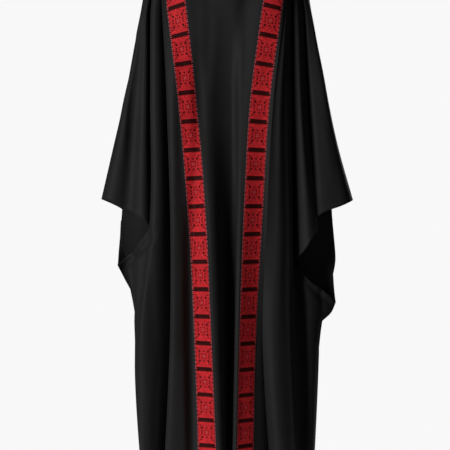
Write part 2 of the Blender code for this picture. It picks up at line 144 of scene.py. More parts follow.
backLines = (
    ("backArmpitRight", "notch", -0.193,
     (-0.216, 0.038), (-0.247, 0.052), (-0.28, 0.046), (-0.232, 0.05), (-0.212, 0.062)),
    ("backSideRight", "sharp", -0.18,
     (-0.188, 0.05), (-0.2, 0.048), (-0.205, 0.052), (-0.196, 0.07), (-0.184, 0.08)),
    ("backBladeRight", "round", -0.163,
     (-0.16, 0.084), (-0.168, 0.1), (-0.17, 0.118), (-0.162, 0.128), (-0.153, 0.142)),
    ("backInnerRight", "sharp", -0.128,
     (-0.12, 0.092), (-0.124, 0.094), (-0.126, 0.092), (-0.122, 0.094), (-0.118, 0.1)),
    ("backSeatRight", "round", -0.088,
     (-0.074, 0.113), (-0.078, 0.128), (-0.078, 0.146), (-0.074, 0.158), (-0.07, 0.172)),
    ("backMiddle", "sharp", 0,
     (-0.014, 0.112), (-0.01, 0.112), (-0.006, 0.11), (0, 0.11), (0.004, 0.116)),
    ("backSeatLeft", "round", 0.088,
     (0.062, 0.114), (0.066, 0.13), (0.07, 0.148), (0.072, 0.16), (0.076, 0.175)),
    ("backInnerLeft", "sharp", 0.126,
     (0.112, 0.094), (0.116, 0.096), (0.12, 0.094), (0.122, 0.096), (0.122, 0.103)),
    ("backBladeLeft", "round", 0.16,
     (0.154, 0.086), (0.162, 0.102), (0.166, 0.12), (0.164, 0.13), (0.16, 0.144)),
    ("backSideLeft", "sharp", 0.179,
     (0.186, 0.05), (0.193, 0.048), (0.193, 0.054), (0.196, 0.07), (0.192, 0.08)),
    ("backArmpitLeft", "notch", 0.193,
     (0.215, 0.038), (0.246, 0.052), (0.283, 0.046), (0.24, 0.05), (0.218, 0.062)),
)
# Sleeve lines from the body outwards: name, kind, x at the shoulder seam, (x, y) at the chest and the waist,
# then (x, y, z) at the upper edge of the sleeve's opening
frontSleeves = {
    "right": (
        ("sleeveRollRight", "round", -0.193, (-0.2125, -0.04), (-0.216, -0.052), (-0.2185, -0.066, -0.7275)),
        ("sleeveHollowRight", "flank", -0.197, (-0.217, -0.037), (-0.236, -0.046), (-0.262, -0.044, -0.704)),
        ("sleeveFaceRight", "soft", -0.201, (-0.223, -0.034), (-0.257, -0.05), (-0.304, -0.05, -0.681)),
    ),
    "left": (
        ("underarmLeft", "round", 0.184, (0.184, -0.058), (0.19, -0.08), (0.212, -0.098, -0.792)),
        ("underarmFlankLeft", "flank", 0.188, (0.194, -0.045), (0.202, -0.056), (0.2345, -0.08, -0.757)),
        ("armpitLeft", "sharp", 0.192, (0.2045, -0.022), (0.213, -0.028), (0.232, -0.067, -0.724)),
        ("sleeveRollLeft", "round", 0.196, (0.212, -0.038), (0.229, -0.055), (0.252, -0.072, -0.71)),
        ("sleeveFaceLeft", "soft", 0.201, (0.22, -0.034), (0.254, -0.052), (0.3, -0.062, -0.692)),
    ),
}
# Wing lines under each opening: name, kind, (x, y, z) at the opening's lower edge,
# then (x, y) under the arm, at the knee and at the hem
wingUnderZ, wingKneeZ = {"right": -0.94, "left": -1.01}, -1.15    # their heights there
frontWings = {
    "right": (
        ("wingRight", "soft",
         (-0.23, -0.036, -0.788), (-0.2355, -0.056), (-0.2335, -0.058), (-0.218, -0.054)),
        ("wingFoldRight", "soft",
         (-0.26, 0.02, -0.82), (-0.2435, -0.006), (-0.2415, -0.012), (-0.2225, -0.018)),
    ),
    "left": (
        ("hipLeft", "soft",
         (0.212, -0.062, -0.884), (0.219, -0.052), (0.221, -0.048), (0.213, -0.058)),
        ("wingCreaseLeft", "flank",
         (0.25, -0.042, -0.912), (0.243, -0.028), (0.2405, -0.014), (0.2265, -0.02)),
    ),
}
backWings = {
    "right": (
        ("backWingRight", "flank",
         (-0.2885, 0.036, -0.812), (-0.2425, 0.03), (-0.236, 0.032), (-0.219, 0.036)),
    ),
    "left": (
        ("backWingLeft", "flank",
         (0.2865, 0.03, -0.895), (0.2435, 0.028), (0.239, 0.032), (0.226, 0.036)),
    ),
}
frontPanel = {
    "name": "front",
    "lines": frontLines,
    "sleeves": frontSleeves,
    "wings": frontWings,
    "notch": {"right": -0.747, "left": -0.846},
    "below": {"right": "flank", "left": "soft"},
    "neck": (-0.088, -0.1),
    "facing": -1,
}
backPanel = {
    "name": "back",
    "lines": backLines,
    "sleeves": {"right": (), "left": ()},
    "wings": backWings,
    "notch": {"right": -0.7, "left": -0.7},
    "below": {"right": "flank", "left": "flank"},
    "neck": (0.064, -0.024),
    "facing": 1,
}
sides = {"right": -1, "left": 1}
bothSleeves = {"right": "sleeve", "left": "sleeve"}
bandEdges = {
    "right": ("bandRightOuter", "bandRightInner"),
    "left": ("bandLeftInner", "bandLeftOuter"),
}


def hermite(start, leave, end, reach, t):
    rest = 1 - t
    near = start * (rest * rest * (1 + 2 * t)) + leave * (rest * rest * t)
    return near + end * (t * t * (3 - 2 * t)) - reach * (t * t * rest)


def smoothAt(z, heights, values):
    last = len(heights) - 2
    i = min(max(sum(z < height for height in heights) - 1, 0), last)
    steps = [(values[k + 1] - values[k]) / (heights[k + 1] - heights[k]) for k in range(last + 1)]
    start = steps[i] if i == 0 else (steps[i - 1] + steps[i]) / 2
    end = steps[i] if i == last else (steps[i] + steps[i + 1]) / 2
    span = heights[i + 1] - heights[i]
    return hermite(values[i], start * span, values[i + 1], end * span, (z - heights[i]) / span)


def seamPoint(panel, side, part, z):
    table, depths = seamLines[part]
    heights, distances = zip(*table[side])
    y = depths[0] + (depths[1] - depths[0]) * (z - heights[0]) / (heights[-1] - heights[0])
    return Vector((sides[side] * smoothAt(z, heights, distances), y + panel["facing"] * cloth["seamFace"], z))


def linePoint(z, heights, places):
    x, y = smoothAt(z, heights, [Vector(place[:2]) for place in places])
    return Vector((x, y, z))


def sleevePoint(line, z, notch):
    chestZ, edgeZ = cloth["chestZ"], line[5][2]
    z = chestZ + (z - chestZ) * (edgeZ - chestZ) / (notch - chestZ)
    return linePoint(z, (chestZ, foldZ[1], edgeZ), line[3:])


def wingPoint(line, share, underZ):
    edgeZ, hemZ = line[2][2], cloth["hemZ"]
    return linePoint(edgeZ + (hemZ - edgeZ) * share, (edgeZ, underZ, wingKneeZ, hemZ), line[2:])


def outerKnots(panel, side, level, part):
    # from the body outwards, with the seam last
    notch, chestZ, hemZ = panel["notch"][side], cloth["chestZ"], cloth["hemZ"]
    if part == "sleeve":
        end = armLine[side][-1][0]
        z = chestZ + (level - chestZ) * (end - chestZ) / (notch - chestZ)
        knots = [(sleevePoint(line, level, notch), line[1]) for line in panel["sleeves"][side]]
    else:
        start, share = sideSeam[side][0][0], (level - notch) / (hemZ - notch)
        z = start + (hemZ - start) * share
        knots = [(wingPoint(line, share, wingUnderZ[side]), line[1]) for line in panel["wings"][side]]
    return knots + [(seamPoint(panel, side, part, z), "edge")]


def knotsAt(panel, level, parts):
    # fold points across the panel with their kinds; below each opening the notch line turns softer
    kinds = [line[1] for line in panel["lines"]]
    for side, k in (("right", 0), ("left", -1)):
        share = min(max((panel["notch"][side] - level) / cloth["notchBlend"], 0), 1)
        kinds[k] = (kinds[k], panel["below"][side], share)
    body = [(linePoint(level, foldZ, line[3:]), kind) for line, kind in zip(panel["lines"], kinds)]
    right = outerKnots(panel, "right", level, parts["right"])[::-1]
    return right + body + outerKnots(panel, "left", level, parts["left"])


def squeezed(way, squeeze):
    return Vector((way.x * squeeze, way.y * cloth["sharpDepth"], way.z * squeeze))


def slopesAt(before, here, after, kind):
    # the way a section reaches a fold point and the way it leaves it
    if isinstance(kind, tuple):
        above, below, share = kind
        pairs = zip(slopesAt(before, here, after, above), slopesAt(before, here, after, below))
        return tuple(high.lerp(low, share) for high, low in pairs)
    reach, leave = (here - before).normalized(), (after - here).normalized()
    if kind in ("notch", "sharp"):
        rise = Vector((1, 1, cloth["notchRise"] if kind == "notch" else 1))
        return tuple(squeezed(way, cloth["sharpSqueeze"]) * rise for way in (reach, leave))
    through = (reach + leave).normalized()
    share = {"round": 0, "turned": cloth["turnedSlope"], "soft": cloth["softSlope"], "flank": 1}[kind]
    eased = Vector((through.x, through.y * share, through.z)).normalized()
    if kind == "turned":
        handles = (cloth["turnHandle"], 1) if here.x < 0 else (1, cloth["turnHandle"])
        return eased * handles[0], eased * handles[1]
    return eased, eased


def section(knots, cells):
    points = [point for point, kind in knots]
    last = len(knots) - 1
    slopes = [slopesAt(*points[i - 1 : i + 2], knots[i][1]) for i in range(1, last)]
    for i, place in ((0, 0), (last - 1, last)):
        way = squeezed((points[i + 1] - points[i]).normalized(), cloth["edgeSqueeze"])
        slopes.insert(place, (way, way))
    found = [points[0]]
    for i, count in enumerate(cells):
        span = (points[i + 1] - points[i]).length
        leave, reach = slopes[i][1] * span, slopes[i + 1][0] * span
        steps = [k / count for k in range(1, count + 1)]
        found += [hermite(points[i], leave, points[i + 1], reach, t) for t in steps]
    return found


def levelsOf(panel, cell):
    stops = sorted({cloth["chestZ"], cloth["hemZ"], *panel["notch"].values()}, reverse=True)
    levels = [stops[0]]
    for high, low in zip(stops, stops[1:]):
        count = math.ceil((high - low) / cell)
        levels += [high + (low - high) * k / count for k in range(1, count)] + [low]
    return levels


def partsAt(panel, level):
    return {side: "sleeve" if level >= panel["notch"][side] else "wing" for side in sides}


def cellCounts(panel, cell):
    # cells between neighbouring lines: of the body, and of each sleeve and wing
    def count(length):
        return max(cloth["fewestCells"], math.ceil(cloth["cellSpare"] * length / cell))

    spans = {}
    for level in levelsOf(panel, cloth["widthStep"]):
        upper = partsAt(panel, level)
        for parts in [upper] + [{**upper, side: "wing"} for side in sides if level == panel["notch"][side]]:
            points = [point for point, kind in knotsAt(panel, level, parts)]
            lengths = [(b - a).length for a, b in zip(points, points[1:])]
            right = len(outerKnots(panel, "right", level, parts["right"]))
            left = len(outerKnots(panel, "left", level, parts["left"]))
            found = {
                "body": lengths[right : len(lengths) - left],
                ("right", parts["right"]): lengths[:right],
                ("left", parts["left"]): lengths[len(lengths) - left :],
            }
            for key, values in found.items():
                spans[key] = [max(pair) for pair in zip(values, spans.get(key, values))]
    cells = {key: [count(value) for value in values] for key, values in spans.items()}
    names = [line[0] for line in panel["lines"]]
    for start, end in bandEdges.values():
        if start in names:
            cells["body"][names.index(start)] = cloth["bandCells"]
    return cells


def rowAt(panel, level, parts, counts):
    # the row's right outer stretch, body and left outer stretch, each from the wearer's right to left
    right, left = counts["right", parts["right"]], counts["left", parts["left"]]
    points = section(knotsAt(panel, level, parts), right + counts["body"] + left)
    start, end = sum(right), len(points) - sum(left) - 1
    return {"right": points[: start + 1], "body": points[start : end + 1], "left": points[end:]}


def shoulderPlaces(panel, counts):
    right, left = panel["sleeves"]["right"], panel["sleeves"]["left"]
    half = shoulders["halfWidth"]
    values = [-half] + [line[2] for line in right[::-1] + panel["lines"] + left] + [half]
    found = [values[0]]
    cells = counts["right", "sleeve"] + counts["body"] + counts["left", "sleeve"]
    for start, end, count in zip(values, values[1:], cells):
        found += [start + (end - start) * k / count for k in range(1, count + 1)]
    return found


def topPoint(panel, x):
    # the point on the shoulder seam or neckline, and the way the cloth leaves it
    facing, (depth, drop) = panel["facing"], panel["neck"]
    half, wide = shoulders["neckHalfWidth"], shoulders["halfWidth"]
    sideTilt, frontTilt, endTilt = (shoulders[key] for key in ("neckSideTilt", "neckFrontTilt", "endTilt"))
    y = facing * cloth["seamFace"]
    if abs(x) <= half:
        turn = math.cos(x / half * math.pi / 2)
        tilt = math.radians(sideTilt + (frontTilt - sideTilt) * turn)
        flare = shoulders["neckFlare"] * (x / half) ** 5
        place = (half * math.sin(x / half * math.pi / 2), y + depth * turn, drop * turn)
    else:
        out = (abs(x) - half) / (wide - half)
        tilt = math.radians(sideTilt + (endTilt - sideTilt) * out**3)
        flare = math.copysign(shoulders["neckFlare"] * (1 - out) ** 2, x)
        place = (x, y, -shoulders["slope"] * out - shoulders["round"] * out**3)
    return Vector(place), Vector((flare, facing * math.cos(tilt), -math.sin(tilt)))


def yokePoints(panel, places, chest, below, share):
    row = []
    for x, point, under in zip(places, chest, below):
        start, way = topPoint(panel, x)
        span = (point - start).length
        row.append(hermite(start, way * span, point, (under - point).normalized() * span, share))
    return row


def yokeRow(panel, places, chest, below, share):
    row = yokePoints(panel, places, chest, below, share)
    for side, k in (("right", 0), ("left", -1)):
        top = armLine[side][0][0]
        z = top + (cloth["chestZ"] - top) * share
        row[k] = seamPoint(panel, side, "sleeve", z)
    return row


def whole(row):
    return row["right"] + row["body"][1:] + row["left"][1:]


def asArray(rows):
    return np.array([[tuple(point) for point in row] for row in rows])


def outwards(row, side):
    return row[side][::-1] if side == "right" else row[side]


def gridsOf(panel, counts, levels, yokeRows):
    # arrays of points: the body's rows, and each sleeve's and wing's from the body outwards
    chest = whole(rowAt(panel, cloth["chestZ"], bothSleeves, counts))
    below = whole(rowAt(panel, shoulders["chestLead"], bothSleeves, counts))
    places = shoulderPlaces(panel, counts)
    right, left = sum(counts["right", "sleeve"]), sum(counts["left", "sleeve"])
    grids = defaultdict(list)
    for k in range(yokeRows):
        row = yokeRow(panel, places, chest, below, k / yokeRows)
        grids["body"].append(row[right : len(row) - left])
        grids["right", "sleeve"].append(row[: right + 1][::-1])
        grids["left", "sleeve"].append(row[len(row) - left - 1 :])
    for level in levels:
        parts = partsAt(panel, level)
        row = rowAt(panel, level, parts, counts)
        grids["body"].append(row["body"])
        for side in sides:
            grids[side, parts[side]].append(outwards(row, side))
            if level == panel["notch"][side]:
                wing = rowAt(panel, level, {**parts, side: "wing"}, counts)
                grids[side, "wing"].append(outwards(wing, side))
    return {key: asArray(rows) for key, rows in grids.items()}, places


# Creases listed: x and z where one starts and where it ends, how far its middle bows sideways,
# half width, and depth. A trough's depth is negative, a ridge's positive.
frontCreases = (
    (-0.134, -0.25, -0.128, -0.68, 0.002, 0.014, 0.0045),
    (-0.078, -0.3, -0.084, -0.69, -0.007, 0.015, -0.0045),
    (-0.078, -0.56, -0.088, -1.06, 0.008, 0.015, -0.0095),
    (-0.094, -0.86, -0.08, -1.6, 0, 0.016, -0.012),
    (0.024, -0.38, 0.02, -0.76, 0, 0.016, -0.0035),
    (-0.18, -0.758, -0.315, -0.892, 0, 0.012, -0.01),
    (0.165, -0.852, 0.3, -0.975, 0, 0.011, -0.007),
    (-0.234, -0.24, -0.264, -0.86, 0, 0.018, -0.0085),
    (0.251, -0.89, 0.25, -0.99, 0, 0.007, -0.005),
    (-0.262, -0.235, -0.262, -0.64, 0.006, 0.012, 0.0016),
    (-0.24, -0.3, -0.29, -0.668, 0.004, 0.014, -0.0016),
    (-0.226, -0.13, -0.236, -0.42, -0.004, 0.008, -0.0012),
    (-0.176, -0.05, -0.215, -0.33, 0.006, 0.009, -0.0015),
    (-0.118, -0.02, -0.168, -0.16, 0.005, 0.01, -0.0014),
    (-0.128, -0.33, -0.12, -0.7, 0.003, 0.01, -0.001),
    (-0.132, -0.76, -0.116, -1.18, -0.004, 0.012, -0.0014),
    (-0.108, -1.05, -0.098, -1.42, 0.003, 0.01, 0.0012),
    (-0.196, -0.8, -0.176, -1.12, 0.006, 0.011, -0.0016),
    (-0.226, -0.86, -0.206, -1.28, -0.003, 0.013, 0.0015),
    (-0.176, -1.09, -0.186, -1.435, 0.004, 0.01, -0.0014),
    (-0.046, -0.12, -0.06, -0.42, -0.006, 0.012, -0.0014),
    (-0.02, -0.2, -0.044, -0.56, 0.005, 0.013, 0.0012),
    (0.03, -0.42, 0.024, -0.8, -0.003, 0.009, 0.001),
    (-0.03, -0.78, -0.018, -1.15, 0.003, 0.008, -0.001),
    (0.05, -0.06, 0.112, -0.15, -0.004, 0.01, -0.0012),
    (0.13, -0.33, 0.122, -0.64, 0.002, 0.008, -0.001),
    (0.15, -0.26, 0.152, -0.6, -0.003, 0.009, 0.0012),
    (0.146, -0.7, 0.138, -1.06, 0.004, 0.01, 0.0014),
    (0.158, -0.94, 0.166, -1.38, -0.003, 0.009, -0.0013),
    (0.196, -0.98, 0.206, -1.42, 0.003, 0.011, -0.0016),
    (0.222, -1.06, 0.216, -1.4, -0.002, 0.01, 0.0012),
    (0.206, -0.11, 0.226, -0.42, -0.005, 0.009, -0.0014),
    (0.25, -0.25, 0.276, -0.64, 0.006, 0.012, 0.0016),
    (0.246, -0.42, 0.3, -0.66, -0.006, 0.011, -0.0015),
    (0.17, -0.04, 0.206, -0.25, -0.006, 0.01, -0.0013),
)
backCreases = (
    (-0.15, -0.06, -0.228, -0.33, 0.01, 0.014, -0.0022),
    (-0.11, -0.05, -0.176, -0.25, 0.008, 0.012, -0.0016),
    (-0.238, -0.24, -0.29, -0.62, 0.005, 0.014, 0.0018),
    (-0.206, -0.42, -0.238, -0.82, -0.006, 0.014, -0.002),
    (-0.15, -0.33, -0.144, -0.7, 0.006, 0.012, -0.0014),
    (-0.098, -0.42, -0.108, -0.86, -0.004, 0.013, -0.0016),
    (-0.052, -0.24, -0.04, -0.56, 0.006, 0.014, -0.0015),
    (-0.036, -0.7, -0.048, -1.15, -0.004, 0.012, 0.0014),
    (-0.15, -0.82, -0.146, -1.26, 0.005, 0.013, -0.0018),
    (-0.2, -0.9, -0.206, -1.42, -0.004, 0.012, 0.0015),
    (-0.096, -1, -0.088, -1.43, 0.004, 0.011, -0.0014),
    (0.014, -0.12, 0.03, -0.42, -0.006, 0.015, -0.0016),
    (0.036, -0.48, 0.044, -0.96, 0.004, 0.012, -0.0014),
    (0.038, -0.98, 0.046, -1.43, -0.004, 0.011, 0.0014),
    (0.104, -0.16, 0.09, -0.52, 0.006, 0.013, -0.0016),
    (0.096, -0.64, 0.102, -1.04, -0.005, 0.012, 0.0015),
    (0.146, -0.3, 0.14, -0.76, 0.005, 0.012, -0.0015),
    (0.148, -0.86, 0.15, -1.3, -0.004, 0.013, -0.0018),
    (0.11, -0.05, 0.19, -0.27, -0.009, 0.013, -0.002),
    (0.16, -0.06, 0.236, -0.36, -0.008, 0.013, -0.0018),
    (0.212, -0.42, 0.244, -0.84, 0.006, 0.013, -0.0018),
    (0.25, -0.28, 0.296, -0.64, -0.004, 0.013, 0.0017),
    (0.204, -0.94, 0.212, -1.43, 0.003, 0.012, -0.0015),
)
creaseShape = {
    "shoulder": 0.55,   # how far the cloth beside a trough stands up
    "fall": 0.8,        # how fast a crease dies out sideways
    "taper": 0.9,       # and at its ends
    "lean": 0.82,       # under 1, its deepest place lies nearer its start
    "seamFade": 0.024,  # creases die out this far from a seam
}


def creaseShift(x, z, table):
    shift = np.zeros(len(x))
    for x0, z0, x1, z1, bow, width, depth in table:
        dx, dz = x1 - x0, z1 - z0
        length = math.hypot(dx, dz)
        along = ((x - x0) * dx + (z - z0) * dz) / length**2
        inside = np.clip(along, 0, 1)
        off = ((x - x0) * dz - (z - z0) * dx) / length - 4 * bow * inside * (1 - inside)
        taper = np.sin(np.pi * inside ** creaseShape["lean"]) ** creaseShape["taper"]
        q = off / width
        rise = 1 - creaseShape["shoulder"] * q * q
        shift += depth * taper * rise * np.exp(-creaseShape["fall"] * q * q)
    return shift


def nearest(points, targets, limit):
    # distance from each point to the nearest target, no more than the limit
    tree = KDTree(len(targets))
    for i, target in enumerate(targets):
        tree.insert(target, i)
    tree.balance()
    return np.array([min(tree.find(point)[2], limit) for point in points])


def gridFaces(index):
    # one face for each cell of a grid of vertex numbers
    corners = index[:-1, :-1], index[1:, :-1], index[1:, 1:], index[:-1, 1:]
    return np.stack(corners, axis=2).reshape(-1, 4).tolist()


def normalsOf(mesh):
    return np.array([tuple(vert.normal) for vert in mesh.vertices])


def addObject(name, mesh):
    found = bpy.data.objects.new(name, mesh)
    bpy.context.scene.collection.objects.link(found)
    return found


def addSurface(name, points, faces, axis, facing):
    mesh = bpy.data.meshes.new(name)
    mesh.from_pydata(points, [], faces)
    faceOutwards(mesh, axis, facing)
    mesh.shade_smooth()
    return addObject(name, mesh)


def addWall(piece, thickness):
    wall = piece.modifiers.new("wall", "SOLIDIFY")
    wall.thickness, wall.offset = thickness, -1
    return wall


def makePanel(panel, creases, material):
    name, facing = panel["name"], panel["facing"]
    counts = cellCounts(panel, cloth["acrossCell"])
    grids, places = gridsOf(panel, counts, levelsOf(panel, cloth["downCell"]), cloth["yokeRows"])
    inward = np.array([0, -facing * (cloth["seamFace"] - cloth["seamGap"] / 2), 0])
    for key in list(grids):
        if key != "body":
            ends = grids[key][:, -1:]
            grids[key] = np.concatenate([grids[key], ends + inward / 2, ends + inward], axis=1)
    # the shoulder seam's own strip, from the neck to the arm on each side
    outer = {side: grids[side, "sleeve"][0, 1:-2] for side in sides}
    top = np.concatenate([outer["right"][::-1], grids["body"][0], outer["left"]])
    neck = shoulders["neckHalfWidth"] - 1e-6    # less a hair, so the neck's two corners count as seam
    for side in sides:
        kept = [point for point, x in zip(top, places) if sides[side] * x >= neck]
        grids[side, "shoulder"] = np.array([kept, kept + inward / 2, kept + inward])
    vertices, faces, found, indexes = [], [], {}, {}
    for key, grid in grids.items():
        rows, columns = grid.shape[:2]
        index = np.zeros((rows, columns), int)
        for r in range(rows):
            for c in range(columns):
                spot = tuple(np.round(grid[r, c], 7))    # grids share their common edges
                if spot not in found:
                    found[spot] = len(vertices)
                    vertices.append(Vector(grid[r, c]))
                index[r, c] = found[spot]
        indexes[key] = index
        faces += gridFaces(index)
    faces = [face for face in faces if len(set(face)) == 4]
    piece = addSurface(name + "Cloth", vertices, faces, 1, facing)
    mesh = piece.data
    points = np.array([tuple(vert) for vert in vertices])
    seams = np.concatenate([indexes[key][:, -1] for key in indexes if key != "body" and key[1] != "shoulder"])
    seams = [vertices[i] for i in seams]
    fade = nearest(vertices, seams, creaseShape["seamFade"]) / creaseShape["seamFade"]
    fade = fade * fade * (3 - 2 * fade)
    normals = normalsOf(mesh)
    points += normals * (creaseShift(points[:, 0], points[:, 2], creases) * fade)[:, None]
    mesh.vertices.foreach_set("co", points.ravel())
    mesh.update()
    normals = normalsOf(mesh)
    hem = np.concatenate([indexes["body"][-1]] + [indexes[side, "wing"][-1] for side in sides])
    rims = (("sleeve", -1), ("wing", 0))
    cuffs = np.concatenate([indexes[side, part][row] for side in sides for part, row in rims])
    bodyPlaces = places[sum(counts["right", "sleeve"]) :]
    neckline = [i for i, x in zip(indexes["body"][0], bodyPlaces) if abs(x) <= neck]
    layers, edge = np.zeros(len(points)), np.zeros(len(points))
    for rim, depth in ((hem, cloth["hemDepth"]), (cuffs, cloth["cuffDepth"]), (neckline, cloth["cuffDepth"])):
        targets = [Vector(points[i]) for i in rim]
        away = nearest([Vector(point) for point in points], targets, cloth["rimReach"])
        layers = np.maximum(layers, np.clip(cloth["turnEnd"] - away / depth, 0, 1))
        edge = np.maximum(edge, np.exp(-away / cloth["wornAndSheenReach"]))
    # edge: nearness to the turned edges, which the crepe paints paler, partly as wear and partly as painted
    # sheen
    mesh.attributes.new("edge", "FLOAT", "POINT").data.foreach_set("value", edge)
    mesh.materials.append(material)
    turned = piece.vertex_groups.new(name="layers")
    for i, weight in enumerate(layers):
        if weight > 0:
            turned.add([i], float(weight), "REPLACE")
    wall = addWall(piece, cloth["thickness"] * cloth["hemLayers"])
    wall.vertex_group, wall.thickness_vertex_group = "layers", 1 / cloth["hemLayers"]
    return piece, {"points": points, "normals": normals, "indexes": indexes, "places": bodyPlaces}


def faceOutwards(mesh, axis, facing):
    work = bmesh.new()
    work.from_mesh(mesh)
    bmesh.ops.recalc_face_normals(work, faces=work.faces)
    if sum(face.normal[axis] * face.calc_area() for face in work.faces) * facing < 0:
        bmesh.ops.reverse_faces(work, faces=work.faces)
    work.to_mesh(mesh)
    work.free()
    mesh.update()


def bandLines(panel, side, count):
    # lines down the cloth from the shoulder seam to the hem, from the band's outer edge to its inner one
    k = [line[0] for line in panel["lines"]].index(bandEdges[side][0])

    def across(level, parts):
        first = len(outerKnots(panel, "right", level, parts["right"])) + k
        before, start, end, after = knotsAt(panel, level, parts)[first - 1 : first + 3]
        span = (end[0] - start[0]).length
        leave = slopesAt(before[0], start[0], end[0], start[1])[1] * span
        reach = slopesAt(start[0], end[0], after[0], end[1])[0] * span
        return [hermite(start[0], leave, end[0], reach, j / count) for j in range(count + 1)]

    chest, below = across(cloth["chestZ"], bothSleeves), across(shoulders["chestLead"], bothSleeves)
    start, end = panel["lines"][k][2], panel["lines"][k + 1][2]
    places = [start + (end - start) * j / count for j in range(count + 1)]
    yokeRows = bandCloth["yokeRows"]
    rows = [yokePoints(panel, places, chest, below, r / yokeRows) for r in range(yokeRows)]
    for level in levelsOf(panel, bandCloth["downCell"]):
        rows.append(across(level, partsAt(panel, level)))
    grid = asArray(rows)
    return grid if side == "right" else grid[:, ::-1]


def bandSurface(grid):
    # the grid with the front's own creases in it, lifted off the front
    normals = np.cross(np.gradient(grid, axis=0), np.gradient(grid, axis=1))
    normals /= np.linalg.norm(normals, axis=2, keepdims=True)
    normals *= -np.sign(normals[..., 1:2])
    shift = creaseShift(grid[..., 0].ravel(), grid[..., 2].ravel(), frontCreases).reshape(grid.shape[:2])
    return grid + normals * (shift + bandCloth["lift"])[..., None]


def makeBandGround(side, material):
    grid = bandSurface(bandLines(frontPanel, side, bandCloth["across"]))
    points = [tuple(point) for point in grid.reshape(-1, 3)]
    faces = gridFaces(np.arange(len(points)).reshape(grid.shape[:2]))
    piece = addSurface(f"band{side.title()}Ground", points, faces, 1, frontPanel["facing"])
    piece.data.materials.append(material)
    addWall(piece, bandCloth["thickness"])
    return piece


def addNode(tree, kind, settings=None, numbered=None, **named):
    # sockets are given by number or by name, with an underscore for a space, and take a value or a link
    node = tree.nodes.new(kind)
    for key, value in (settings or {}).items():
        setattr(node, key, value)
    inputs = {key.replace("_", " "): value for key, value in named.items()}
    for key, value in {**(numbered or {}), **inputs}.items():
        if isinstance(value, bpy.types.NodeSocket):
            tree.links.new(value, node.inputs[key])
        else:
            node.inputs[key].default_value = value
    return node


def addMath(tree, operation, *values):
    return addNode(tree, "ShaderNodeMath", {"operation": operation}, dict(enumerate(values))).outputs["Value"]


def newMaterial(name):
    material = bpy.data.materials.new(name)
    material.use_nodes = True
    tree = material.node_tree
    tree.nodes.clear()
    shader = tree.nodes.new("ShaderNodeBsdfPrincipled")
    addNode(tree, "ShaderNodeOutputMaterial", Surface=shader.outputs["BSDF"])
    return material, tree, shader


# A quarter of one block of the charted repeat, from its middle stitch: rows upwards, columns outwards.
# r is red, d dark, m maroon and p rose; e is the pale thread of the edges.
motif = (
    "prdmrrrrmrrr",
    "rprrrrdmrrmr",
    "drrdrrdmrrrr",
    "mrdmrrrrmrrr",
    "rrrrrrrmrrrr",
    "drrrrddrrmrr",
    "dmrrrdddrmrr",
    "rrmrrrddrrrr",
    "rrrrrrrrmrrr",
    "mrrrrrmrddrr",
    "rrrrrrrrrmrr",
    "rrrmrrrrrrrr",
    "rrrrrrrrrrrr",
    "rrrrrrrrrrrr",
)
threadLetters = "rdmpe"
stitches = {
    "across": 25,
    "repeat": 32,       # rows from one dark bar to the next
    "barRows": 2,       # rows of a bar above and below its middle one
    "barHalf": 10,      # a bar's stitches to each side of its middle one
    "toothStep": 3,     # stitches from one tooth under a bar to the next
    "edgeDots": 13,     # pale dots along an edge from one bar to the next
    "height": 0.00055,
    "topGap": 0.001,    # bare ground at the shoulder seam
    "endGap": 0.002,    # and at the hem
    "uneven": 0.12,
    "hemStitch": (0.0027, 0.0006, 0.0004),
    "hemStep": 0.0042,
    "hemAway": 0.019,   # how far in from the hem its stitches run
    "cuffAway": 0.010,  # and those of the cuffs and the neck
    "rowsIn": 12,       # rows of the cloth that are searched for that distance
    "hemUneven": 0.15,
    "seed": 7,
}
# Bars down the bands: number of repeats from the first one, and height
barHeights = (
    (-3, 0.044), (0, -0.1795), (4, -0.4774), (8, -0.765), (12, -1.0425), (16, -1.3008), (19, -1.4946),
)
# How far the rows lean, inner end up, in degrees, at the same repeats
bandLean = {
    "right": (20, 15.7, 4.9, 2.5, 0.5, 2, 2),
    "left": (16, 12.2, 3, -2, 0, -1.2, -1.2),
}


def threadAt(row, column):
    # the thread's letter, or nothing between the dots of an edge
    out = abs(column - stitches["across"] // 2)
    half = stitches["repeat"] // 2
    below = (row + half) % stitches["repeat"] - half
    dot = row * stitches["edgeDots"] % stitches["repeat"] < stitches["edgeDots"]
    barRows, barHalf = stitches["barRows"], stitches["barHalf"]
    if out == stitches["across"] // 2:
        return "e" if dot else None
    if abs(below) <= barRows and out > barHalf:
        return "r" if dot else None
    tooth = below == barRows + 1 and out < barHalf and out % stitches["toothStep"] == 0
    if abs(below) <= barRows or tooth:
        return "d"
    return "m" if out > barHalf and not dot else motif[half - abs(below)][out]


def noPlaces():
    # middle, way along the row, way out of the cloth, size and thread of every stitch
    return {"middle": [], "along": [], "out": [], "size": [], "thread": []}


